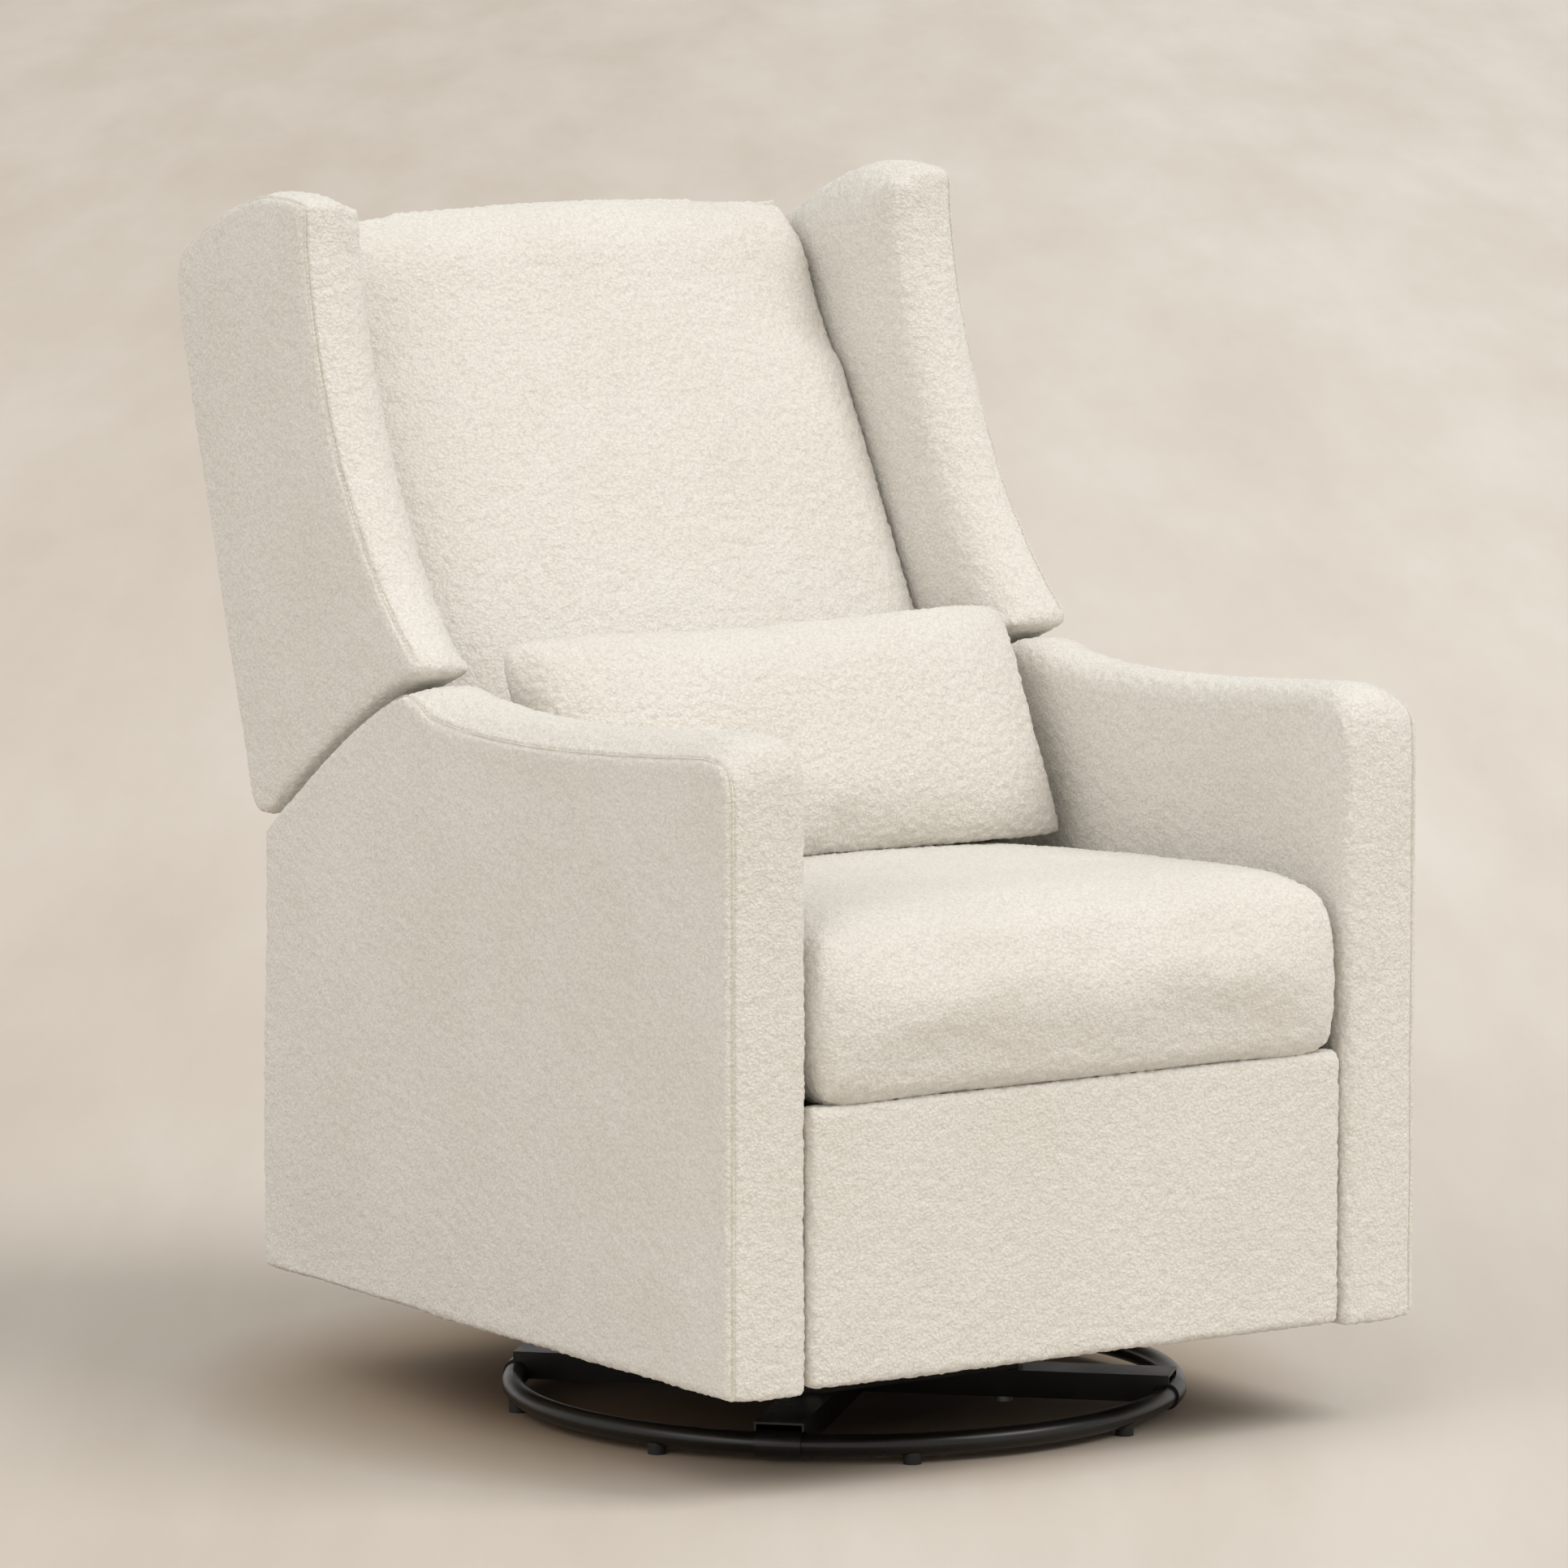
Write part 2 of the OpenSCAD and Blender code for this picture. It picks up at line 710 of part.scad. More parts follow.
// Lumbar pillow: lens-shaped in both directions, leaning on the back
pillow_at = [95, 580];
pillow_lean = 26;
module lumbar_pillow() {
    thick = 55;
    color(fabric) translate([0, pillow_at[0], pillow_at[1]]) rotate([-pillow_lean, 0, 0]) intersection() {
        yz(-pillow_w / 2, pillow_w / 2) polygon(concat(
            quad([-12, -pillow_h / 2], [-2 * thick, 0], [-12, pillow_h / 2], 10),
            quad([12, pillow_h / 2], [2 * thick, 0], [12, -pillow_h / 2], 10)));
        translate([0, 0, -pillow_h]) linear_extrude(2 * pillow_h) polygon(concat(
            quad([-pillow_w / 2, -10], [0, -2.2 * thick], [pillow_w / 2, -10], 10),
            quad([pillow_w / 2, 10], [0, 2.2 * thick], [-pillow_w / 2, 10], 10)));
    }
}

base_ring();
ring_sleeves();
cross_arms();
foot_pads();
arm_bolts();
swivel_lower_plate();
bearing_lower_race();
bearing_balls();
swivel_spindle();
spindle_nut();
bearing_upper_race();
swivel_upper_plate();
lower_rails();
glide_stand_left();
glide_stand_right();
stand_bolts();
glide_upper_pins();
front_glide_links();
rear_glide_links();
glide_lower_pins();
glide_rail_left();
glide_rail_right();
chassis_tubes();
arm_frame_left();
arm_frame_right();
arm_left();
arm_right();
rear_panel();
recliner_plate_left();
recliner_plate_right();
recliner_pins();
actuator_motor();
actuator_tube();
control_bezel();
usb_port();
power_inlet();
seat_side_rails();
seat_cross_rails();
seat_springs();
seat_cushion();
actuator_rod();
back_frame();
back_brackets();
back_springs();
wing_boards();
back_cushion();
wing_left();
wing_right();
outside_back();
footrest_drive_links();
footrest_tube();
elbow_pins();
footrest_mid_links();
footrest_brackets();
footrest_pins();
footrest_board();
footrest_pad();
lumbar_pillow();
recline_button();
return_button();
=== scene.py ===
import bmesh
import bpy
import math
import numpy as np
from mathutils import Matrix, Vector, kdtree


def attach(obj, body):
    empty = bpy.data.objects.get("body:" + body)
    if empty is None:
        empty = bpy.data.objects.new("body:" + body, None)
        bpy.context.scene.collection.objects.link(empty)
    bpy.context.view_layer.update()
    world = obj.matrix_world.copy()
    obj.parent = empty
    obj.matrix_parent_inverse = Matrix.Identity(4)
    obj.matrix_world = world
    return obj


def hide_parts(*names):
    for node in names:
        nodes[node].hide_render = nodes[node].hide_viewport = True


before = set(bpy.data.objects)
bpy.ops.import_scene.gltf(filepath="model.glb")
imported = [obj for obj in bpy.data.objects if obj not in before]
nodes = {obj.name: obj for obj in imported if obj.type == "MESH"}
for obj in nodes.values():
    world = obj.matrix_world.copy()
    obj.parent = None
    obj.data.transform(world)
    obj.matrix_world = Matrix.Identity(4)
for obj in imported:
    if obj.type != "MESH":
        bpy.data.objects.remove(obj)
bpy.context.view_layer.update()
scene = bpy.context.scene
mm = 0.001


# Camera: a long lens from the sitter's right, a little above the seat.

def look_at(name, where, azimuth, elevation, distance, lens):
    a, e = math.radians(azimuth), math.radians(elevation)
    back = Vector((math.sin(a) * math.cos(e), -math.cos(a) * math.cos(e), math.sin(e)))
    camera = bpy.data.objects.new(name, bpy.data.cameras.new(name))
    camera.data.lens = lens
    camera.data.sensor_width = 36
    camera.data.clip_end = 200
    camera.location = Vector(where) + back * distance
    camera.rotation_euler = (-back).to_track_quat("-Z", "Y").to_euler()
    scene.collection.objects.link(camera)
    return camera


scene.view_settings.view_transform = "Standard"
scene.camera = look_at("studio_camera", (-0.005, 0.087, 0.538), -33.81, 7.75, 9.3, 242.2)


# Ring base, swivel and glide hardware: tube and pressed plate, powder coated black;
# turned pins, bolts and bearing parts zinc plated; rubber pads under the ring.

def material(name, colour, roughness, metallic=0.0):
    made = bpy.data.materials.new(name)
    made.use_nodes = True
    tree = made.node_tree
    shader = tree.nodes["Principled BSDF"]
    shader.inputs["Base Color"].default_value = (*colour, 1)
    shader.inputs["Roughness"].default_value = roughness
    shader.inputs["Metallic"].default_value = metallic
    return made, tree, shader


def add(tree, kind, **values):
    node = tree.nodes.new(kind)
    for key, value in values.items():
        if key in node.inputs:
            node.inputs[key].default_value = value
        else:
            setattr(node, key, value)
    return node


def noise(tree, scale, detail=2.0, stretch=(1, 1, 1), turned=0.0):
    place = add(tree, "ShaderNodeTexCoord")
    turn = add(tree, "ShaderNodeMapping")
    turn.inputs["Scale"].default_value = stretch
    turn.vector_type = "TEXTURE" if turned else "POINT"
    turn.inputs["Rotation"].default_value = (0, 0, turned)
    tree.links.new(place.outputs["Object"], turn.inputs["Vector"])
    cloud = add(tree, "ShaderNodeTexNoise", Scale=scale, Detail=detail)
    tree.links.new(turn.outputs["Vector"], cloud.inputs["Vector"])
    return cloud


def ramp(tree, source, stops):
    made = add(tree, "ShaderNodeValToRGB")
    bar = made.color_ramp
    for at, colour in stops[2:]:
        bar.elements.new(at)
    for element, (at, colour) in zip(bar.elements, sorted(stops)):
        element.position = at
        element.color = (*colour, 1) if len(colour) == 3 else colour
    tree.links.new(source, made.inputs["Fac"])
    return made.outputs["Color"]


def grey(v):
    return (v, v, v)


def times(tree, tint, other):
    """One colour multiplied by another."""
    both = add(tree, "ShaderNodeMix", data_type="RGBA", blend_type="MULTIPLY")
    both.inputs["Factor"].default_value = 1.0
    tree.links.new(tint, both.inputs["A"])
    tree.links.new(other, both.inputs["B"])
    return both.outputs["Result"]


def raised(tree, shader, height, strength, distance):
    bump = add(tree, "ShaderNodeBump", Strength=strength, Distance=distance)
    tree.links.new(height, bump.inputs["Height"])
    tree.links.new(bump.outputs["Normal"], shader.inputs["Normal"])


def powder_coat():
    made, tree, shader = material("powder_coat_black", (0.006, 0.0056, 0.005), 0.32)
    peel = noise(tree, 900, 3)
    wear = noise(tree, 14, 4)
    tint = ramp(tree, wear.outputs["Fac"], [(0.35, (0.004, 0.0037, 0.0032)), (0.75, (0.010, 0.0092, 0.008))])
    gloss = ramp(tree, wear.outputs["Fac"], [(0.3, grey(0.24)), (0.7, grey(0.38))])
    tree.links.new(tint, shader.inputs["Base Color"])
    tree.links.new(gloss, shader.inputs["Roughness"])
    raised(tree, shader, peel.outputs["Fac"], 0.12, 0.0003)
    return made


def zinc_plate():
    made, tree, shader = material("zinc_plated_steel", (0.55, 0.55, 0.53), 0.34, 1.0)
    smoke = noise(tree, 60, 4)
    tint = ramp(tree, smoke.outputs["Fac"], [(0.3, (0.44, 0.44, 0.42)), (0.7, (0.62, 0.62, 0.60))])
    gloss = ramp(tree, smoke.outputs["Fac"], [(0.3, grey(0.28)), (0.7, grey(0.45))])
    tree.links.new(tint, shader.inputs["Base Color"])
    tree.links.new(gloss, shader.inputs["Roughness"])
    return made


def moulded(name, colour, roughness, grain):
    made, tree, shader = material(name, colour, roughness)
    fine = noise(tree, grain, 2)
    wear = noise(tree, 30, 3)
    dark = tuple(c * 0.8 for c in colour)
    light = tuple(c * 1.25 for c in colour)
    tree.links.new(ramp(tree, wear.outputs["Fac"], [(0.3, dark), (0.7, light)]), shader.inputs["Base Color"])
    raised(tree, shader, fine.outputs["Fac"], 0.2, 0.0002)
    return made


def pine():
    made, tree, shader = material("pine_board", (0.62, 0.45, 0.27), 0.62)
    grain = noise(tree, 22, 5, (1, 9, 1))
    tint = ramp(tree, grain.outputs["Fac"], [(0.35, (0.46, 0.31, 0.17)), (0.6, (0.68, 0.51, 0.31))])
    tree.links.new(tint, shader.inputs["Base Color"])
    raised(tree, shader, grain.outputs["Fac"], 0.15, 0.0004)
    return made


def coat(names, finish):
    for name in names.split():
        kept = nodes[name]
        if not kept.material_slots:
            kept.data.materials.append(finish)
        for place in kept.material_slots:
            place.material = finish


black_coat = powder_coat()
plating = zinc_plate()
coat("base_ring cross_arms swivel_lower_plate swivel_upper_plate lower_rails glide_stand_left"
     " glide_stand_right front_glide_links rear_glide_links glide_rail_left glide_rail_right"
     " chassis_tubes recliner_plate_left recliner_plate_right seat_side_rails seat_cross_rails"
     " back_frame back_brackets footrest_drive_links footrest_tube footrest_mid_links"
     " footrest_brackets", black_coat)
coat("arm_bolts bearing_lower_race bearing_balls swivel_spindle spindle_nut bearing_upper_race"
     " stand_bolts glide_upper_pins glide_lower_pins recliner_pins seat_springs back_springs"
     " elbow_pins footrest_pins actuator_rod", plating)
sleeve_plastic = moulded("sleeve_plastic", (0.007, 0.0068, 0.0065), 0.36, 700)
coat("ring_sleeves actuator_motor actuator_tube control_bezel usb_port power_inlet", sleeve_plastic)
coat("foot_pads", moulded("pad_rubber", (0.010, 0.010, 0.009), 0.6, 500))


# Hidden timber: boards inside the arms and wings and behind the footrest, glued and stapled.

coat("arm_frame_left arm_frame_right wing_boards footrest_board", pine())


# Boucle cover cloth: cream looped yarn, loops about 3 mm across, matt and slightly hairy.
# Every cover is cut from it. The loops that stand out of the surface are in the mesh.

cream = (0.905, 0.878, 0.822)
loop_size = 2.9 * mm


def boucle(name, nub):
    made, tree, shader = material(name, nub, 0.96)
    links = tree.links
    place = add(tree, "ShaderNodeTexCoord")
    stir = noise(tree, 210, 2)
    moved = add(tree, "ShaderNodeVectorMath", operation="SCALE")
    moved.inputs["Scale"].default_value = 0.0042
    links.new(stir.outputs["Color"], moved.inputs[0])
    bent = add(tree, "ShaderNodeVectorMath", operation="ADD")
    links.new(place.outputs["Object"], bent.inputs[0])
    links.new(moved.outputs["Vector"], bent.inputs[1])
    loops = add(tree, "ShaderNodeTexVoronoi", feature="SMOOTH_F1", Scale=1 / loop_size, Smoothness=0.35)
    links.new(bent.outputs["Vector"], loops.inputs["Vector"])
    hair = noise(tree, 1300, 3)
    height = add(tree, "ShaderNodeMath", operation="MULTIPLY_ADD")
    height.inputs[1].default_value = -1.0
    links.new(loops.outputs["Distance"], height.inputs[0])
    links.new(hair.outputs["Fac"], height.inputs[2])
    # Painted shade: the yarn colour darkens towards the pits between the loops, where shade gathers.
    painted_pit_shade = tuple(c * k for c, k in zip(nub, (0.84, 0.825, 0.80)))
    yarn = ramp(tree, loops.outputs["Distance"], [(0.12, nub), (0.80, painted_pit_shade)])
    blotch = noise(tree, 7, 3)
    shade = ramp(tree, blotch.outputs["Fac"], [(0.3, (0.955, 0.945, 0.93)), (0.7, grey(1.0))])
    # Painted shade: the colour darkens along the sewn seams, by the seam attribute, standing in for the
    # shade in their creases.
    line = add(tree, "ShaderNodeAttribute", attribute_name="seam")
    crease = ramp(tree, line.outputs["Fac"], [(0.0, grey(1.0)), (1.0, (0.80, 0.785, 0.755))])
    links.new(times(tree, times(tree, yarn, shade), crease), shader.inputs["Base Color"])
    shader.inputs["Sheen Weight"].default_value = 0.36
    shader.inputs["Sheen Roughness"].default_value = 0.5
    shader.inputs["Specular IOR Level"].default_value = 0.2
    raised(tree, shader, height.outputs["Value"], 0.85, 0.0014)
    return made


cover_cloth = boucle("boucle_cream", cream)

# The loops' share of the shape: a fine lumpy layer over a slow unevenness of the padding.
loop_lumps = bpy.data.textures.new("loop_lumps", "VORONOI")
loop_lumps.noise_scale = 0.0065
loop_lumps.distance_metric = "DISTANCE"
padding_swell = bpy.data.textures.new("padding_swell", "CLOUDS")
padding_swell.noise_scale = 0.09


def upholster(name, mesh, body, replaced, swell=1.0):
    """Dresses a finished mesh in the cover cloth and fixes it to its body. Loops lie flatter
    beside a seam, where the needle holds them."""
    piece = bpy.data.objects.new(name, mesh)
    scene.collection.objects.link(piece)
    mesh.materials.clear()
    mesh.materials.append(cover_cloth)
    # Pieces without sewn lines get an empty seam attribute, so they carry no painted seam shade.
    if "seam" not in mesh.attributes:
        mesh.attributes.new("seam", "FLOAT", "POINT")
    for face in mesh.polygons:
        face.use_smooth = True
    finer = piece.modifiers.new("fine_mesh", "SUBSURF")
    finer.levels = finer.render_levels = 1
    uneven = piece.modifiers.new("padding_swell", "DISPLACE")
    uneven.texture = padding_swell
    uneven.strength = 2.2 * mm * swell
    uneven.mid_level = 0.5
    lumps = piece.modifiers.new("loop_lumps", "DISPLACE")
    lumps.texture = loop_lumps
    lumps.strength = -2.5 * mm
    lumps.mid_level = 0.35
    if "near_seam" in mesh.attributes:
        near = np.empty(len(mesh.vertices), np.float32)
        mesh.attributes["near_seam"].data.foreach_get("value", near)
        loose = piece.vertex_groups.new(name="loose_loops")
        shares = 5
        flattened = 0.13
        for share in range(shares + 1):
            held = (np.round(near * shares) == share).nonzero()[0]
            loose.add(held.tolist(), 1 - flattened * share, "REPLACE")
        lumps.vertex_group = "loose_loops"
    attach(piece, body)
    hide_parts(*replaced)


# Arms: a timber board wrapped in foam. An outer panel, an inner panel and one long strip
# over the front, top and slope are sewn together; the outer seam is topstitched on the strip.

cell = 6.2 * mm


def quad(a, b, c, n=8):
    return [tuple(p * (1 - t) ** 2 + q * 2 * t * (1 - t) + r * t * t for p, q, r in zip(a, b, c))
            for t in (i / n for i in range(n + 1))]


def cubic(a, b, c, d, n=10):
    return [tuple(p * (1 - t) ** 3 + q * 3 * t * (1 - t) ** 2 + r * 3 * t * t * (1 - t) + s * t ** 3
                  for p, q, r, s in zip(a, b, c, d)) for t in (i / n for i in range(n + 1))]


def walked(outline, step=7.0, closed=True):
    """The outline with extra points, none further apart than the step."""
    made = []
    count = len(outline)
    for i in range(count if closed else count - 1):
        a, b = outline[i], outline[(i + 1) % count]
        parts = max(1, math.ceil(math.dist(a, b) / step))
        made += [tuple(p + (q - p) * k / parts for p, q in zip(a, b)) for k in range(parts)]
    return made if closed else made + [outline[-1]]


def outward(points):
    """Outward normals of a closed [y, z] outline."""
    p = np.array(points)
    along = np.roll(p, -1, 0) - np.roll(p, 1, 0)
    along /= np.linalg.norm(along, axis=1)[:, None]
    out = np.stack([along[:, 1], -along[:, 0]], 1)
    turn = np.sum(p[:, 0] * np.roll(p[:, 1], -1) - np.roll(p[:, 0], -1) * p[:, 1])
    return out if turn > 0 else -out


def ellipse(depth, count=7):
    """(distance across, share of the edge's drop left) from a rounded edge to the crown."""
    return [(depth * (1 - math.cos(a)), 1 - math.sin(a))
            for a in (math.pi / 2 * i / count for i in range(count + 1))]


def sloped(depth, count=7):
    """The same for an edge that starts at a seam, with a slope and not a full round."""
    return [(depth * t, (1 - t) ** 2) for t in (i / count for i in range(count + 1))]


def lofted(rings):
    """A closed shell through rings, each (x, [y, z] points), all in mm."""
    bm = bmesh.new()
    tag = bm.verts.layers.int.new("point")
    first = []
    for i, (y, z) in enumerate(rings[0][1]):
        vert = bm.verts.new((rings[0][0] * mm, y * mm, z * mm))
        vert[tag] = i
        first.append(vert)
    face = bm.faces.new(first)
    for x, ring in rings[1:]:
        made = bmesh.ops.extrude_face_region(bm, geom=[face])["geom"]
        face = next(g for g in made if isinstance(g, bmesh.types.BMFace))
        for vert in face.verts:
            y, z = ring[vert[tag]]
            vert.co = (x * mm, y * mm, z * mm)
    bmesh.ops.recalc_face_normals(bm, faces=bm.faces)
    return bm


def as_mesh(bm, name):
    mesh = bpy.data.meshes.new(name)
    bm.to_mesh(mesh)
    bm.free()
    return mesh


def eased(mesh, rounds):
    """Smooths the whole net a number of times."""
    bm = bmesh.new()
    bm.from_mesh(mesh)
    for _ in range(rounds):
        bmesh.ops.smooth_vert(bm, verts=bm.verts, factor=0.5, use_axis_x=True, use_axis_y=True,
                              use_axis_z=True)
    bm.to_mesh(mesh)
    bm.free()
    return mesh


def woven_over(mesh, size, rounds=2):
    """An even net of quads over the shell, with its edges eased."""
    block = bpy.data.objects.new("block", mesh)
    scene.collection.objects.link(block)
    net = block.modifiers.new("net", "REMESH")
    net.mode = "VOXEL"
    net.voxel_size = size
    made = bpy.data.meshes.new_from_object(block.evaluated_get(bpy.context.evaluated_depsgraph_get()))
    bpy.data.objects.remove(block)
    return eased(made, rounds)


def spots(mesh):
    where = np.empty(len(mesh.vertices) * 3, np.float32)
    mesh.vertices.foreach_get("co", where)
    return where.reshape(-1, 3).astype(float)


def put(mesh, where):
    mesh.vertices.foreach_set("co", where.astype(np.float32).ravel())
    mesh.update()


def normals(mesh):
    made = np.empty(len(mesh.vertices) * 3, np.float32)
    mesh.vertices.foreach_get("normal", made)
    return made.reshape(-1, 3).astype(float)


def distance_to(where, line, limit):
    """Distance of each point to a sewn line, capped at the limit; the line is dense points."""
    tree = kdtree.KDTree(len(line))
    for i, p in enumerate(line):
        tree.insert(p, i)
    tree.balance()
    low, high = np.min(line, 0) - limit, np.max(line, 0) + limit
    far = np.full(len(where), limit)
    near = np.all((where > low) & (where < high), axis=1).nonzero()[0]
    for i in near:
        far[i] = min(limit, tree.find(where[i])[2])
    return far


def sewn(mesh, lines):
    """Refines the net along sewn lines and pulls a crease in along each, with a low puff beside it."""
    crease_depth, crease_width = 1.7 * mm, 1.6 * mm
    refined, reach = 9 * mm, 20 * mm
    puff_at, puff_width, puff_height = 3.6 * mm, 1.8 * mm, 0.45 * mm
    where = spots(mesh)
    dense = [np.array(walked([tuple(p) for p in line], 1.0 * mm, False)) for line in lines]
    every = np.concatenate(dense)
    close = distance_to(where, every, reach)
    bm = bmesh.new()
    bm.from_mesh(mesh)
    bm.verts.ensure_lookup_table()
    chosen = [e for e in bm.edges if max(close[v.index] for v in e.verts) < refined]
    bmesh.ops.subdivide_edges(bm, edges=chosen, cuts=1, use_grid_fill=True)
    bm.to_mesh(mesh)
    bm.free()
    where = spots(mesh)
    out = normals(mesh)
    pull = np.zeros(len(where))
    for line in dense:
        pull = np.maximum(pull, np.exp(-(distance_to(where, line, reach) / crease_width) ** 2))
    near = distance_to(where, every, reach)
    puff = puff_height * np.exp(-((near - puff_at) / puff_width) ** 2)
    put(mesh, where + out * (puff - crease_depth * pull)[:, None])
    # The crease weight is kept as the seam attribute, which the cover cloth darkens by as painted shade.
    shade = mesh.attributes.new("seam", "FLOAT", "POINT")
    shade.data.foreach_set("value", pull.astype(np.float32))
    held = mesh.attributes.new("near_seam", "FLOAT", "POINT")
    held.data.foreach_set("value", np.exp(-(near / refined) ** 2).astype(np.float32))


def stitches(name, line, body, thread):
    """A row of thread stitches lying in a sewn line."""
    spacing, thread_r, laid = 4.6 * mm, 0.42 * mm, 0.74
    sharp = 1.4
    path = np.array(walked([tuple(p) for p in line], 1.0 * mm, False))
    run = np.concatenate([[0], np.cumsum(np.linalg.norm(np.diff(path, axis=0), axis=1))])
    bm = bmesh.new()
    for start in np.arange(0, run[-1] - spacing, spacing):
        a = Vector([np.interp(start, run, path[:, k]) for k in range(3)])
        b = Vector([np.interp(start + spacing * laid, run, path[:, k]) for k in range(3)])
        turn = (b - a).to_track_quat("Z", "Y").to_matrix().to_4x4()
        bmesh.ops.create_cone(bm, cap_ends=True, segments=5, radius1=thread_r, radius2=thread_r,
                              depth=(b - a).length, matrix=Matrix.Translation((a + b) / 2) @ turn)
    bmesh.ops.bevel(bm, geom=[e for e in bm.edges if e.calc_face_angle(0) > sharp], offset=0.15 * mm,
                    offset_type="OFFSET", segments=1, profile=0.5, affect="EDGES", material=-1)
    row = bpy.data.objects.new(name, as_mesh(bm, name))
    row.data.materials.append(thread)
    scene.collection.objects.link(row)
    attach(row, body)


thread_cream = moulded("sewing_thread", (0.74, 0.70, 0.61), 0.8, 900)

wing_low = quad((394, 501), (235, 622), (150, 648))


def towards(p, q, d):
    k = d / math.dist(p, q)
    return (p[0] + (q[0] - p[0]) * k, p[1] + (q[1] - p[1]) * k)


recline_axis = (300, 340)
arm_outline = walked([(-362, 90.5), (402, 90.5), (393, 478)]
                     + [towards(p, recline_axis, 8) for p in wing_low]
                     + cubic((130, 642), (50, 626), (-70, 626), (-312, 650), 12)
                     + quad((-325, 650), (-362, 650), (-362, 606), 6))


def boxed(outline, outer_x, inner_x, drops, depths):
    """A padded slab with an outer seam. drops(normal, point) gives the outer and inner edge's fall."""
    seam_gap = 7.0
    p = np.array(outline)
    out = outward(outline)
    fall = np.array([drops(n, q) for n, q in zip(out, p)])
    side = 1 if outer_x > inner_x else -1
    steps = [(outer_x - side * d, 0, share) for d, share in sloped(depths[0])]
    steps += [(inner_x + side * d, 1, share) for d, share in reversed(ellipse(depths[1]))]
    rings = [(x, p - out * (fall[:, edge] * share)[:, None]) for x, edge, share in steps]
    bm = lofted(rings)
    edge_line = [(rings[0][0], *q) for q in rings[0][1]]
    stitch_line = []
    for i in range(len(outline)):
        run = 0
        for (x0, r0), (x1, r1) in zip(rings, rings[1:]):
            a, b = (x0, *r0[i]), (x1, *r1[i])
            leg = math.dist(a, b)
            if run + leg > seam_gap:
                t = (seam_gap - run) / leg
                stitch_line.append(tuple(u + (v - u) * t for u, v in zip(a, b)))
                break
            run += leg
    return bm, np.array(edge_line) * mm, np.array(stitch_line) * mm


def arm_drops(n, q):
    up = max(0.0, n[1])
    front = max(0.0, -n[0])
    slope = min(1.0, max(0.0, (q[0] - 110) / 50))
    outer = 3 + 21 * up * (1 - slope) + 3 * slope + 3 * front
    inner = 3 + 19 * up * (1 - 0.5 * slope) + 3 * front
    return outer, inner


def belly(mesh, outline, face_x, push, start, margin):
    """Lets a flat panel stand out between its edges, easing in from the outline."""
    where = spots(mesh)
    edge = kdtree.KDTree(len(outline))
    for i, (y, z) in enumerate(outline):
        edge.insert((0, y * mm, z * mm), i)
    edge.balance()
    for i in (np.abs(where[:, 0] - face_x) < 5 * mm).nonzero()[0]:
        inside = edge.find((0, where[i, 1], where[i, 2]))[2]
        t = min(1.0, max(0.0, (inside - start) / margin))
        where[i, 0] += push * t * t * (3 - 2 * t)
    put(mesh, where)


def visible_run(line, keep):
    """The stretch of a closed sewn line that the cover shows, starting after the gap."""
    shown = np.array([keep(q) for q in line])
    start = next(i for i in range(len(line)) if shown[i] and not shown[i - 1])
    made = []
    for k in range(len(line)):
        i = (start + k) % len(line)
        if not shown[i]:
            break
        made.append(line[i])
    return np.array(made)


def not_hem(q):
    return q[2] > 96 * mm and not (q[1] > 0.36 and q[2] < 0.47)


arm_outer, arm_inner = 360, 278.5
for side, hand in ((1, "left"), (-1, "right")):
    bm, edge_line, stitch_line = boxed(arm_outline, arm_outer * side, arm_inner * side, arm_drops, (45, 26))
    net = woven_over(as_mesh(bm, hand + "_arm_cover"), cell)
    belly(net, arm_outline, arm_outer * side * mm, 2.5 * side * mm, 22 * mm, 80 * mm)
    runs = [visible_run(line, not_hem) for line in (edge_line, stitch_line)]
    sewn(net, runs)
    upholster(hand + "_arm_cover", net, "chassis", ["arm_" + hand])
    stitches(hand + "_arm_topstitch", runs[1], "chassis", thread_cream)


# Wings: boards with thick foam, bolted to the back and leaning with it. Same seams as the arms,
# with a full round edge on the sitter's side.

wing_outline = walked(wing_low
                      + cubic((148, 662), (250, 745), (308, 895), (330, 1010))
                      + quad((333, 1050), (350, 1056), (376, 1056), 5)
                      + quad((400, 1056), (460, 1046), (519, 1012), 6)
                      + quad((545, 1000), (558, 983), (553, 951), 4)
                      + quad((548, 923), (470, 650), (428, 507), 6)
                      + [(416, 497)])


def wing_drops(n, q):
    front = max(0.0, -n[0])
    up = max(0.0, n[1])
    middle = math.sin(math.pi * min(1.0, max(0.0, (q[1] - 662) / 372)))
    outer = 3 + 4 * max(front, up) + 8 * front * middle
    inner = 4 + 9 * front + 34 * up
    return outer, inner


def not_under(q):
    return q[2] > 0.667 - (q[1] - 0.15) * 0.594


wing_outer, wing_inner = 350, 280
for side, hand in ((1, "left"), (-1, "right")):
    bm, edge_line, stitch_line = boxed(wing_outline, wing_outer * side, wing_inner * side,
                                       wing_drops, (26, 43))
    net = woven_over(as_mesh(bm, hand + "_wing_cover"), cell)
    belly(net, wing_outline, wing_outer * side * mm, 4 * side * mm, 8 * mm, 60 * mm)
    belly(net, wing_outline, wing_inner * side * mm, -9 * side * mm, 12 * mm, 60 * mm)
    runs = [visible_run(line, not_under) for line in (edge_line, stitch_line)]
    sewn(net, runs)
    upholster(hand + "_wing_cover", net, "back", ["wing_" + hand])
    stitches(hand + "_wing_topstitch", runs[1], "back", thread_cream)


# Seat cushion: fibre-wrapped foam in one cover that rolls over the front edge.

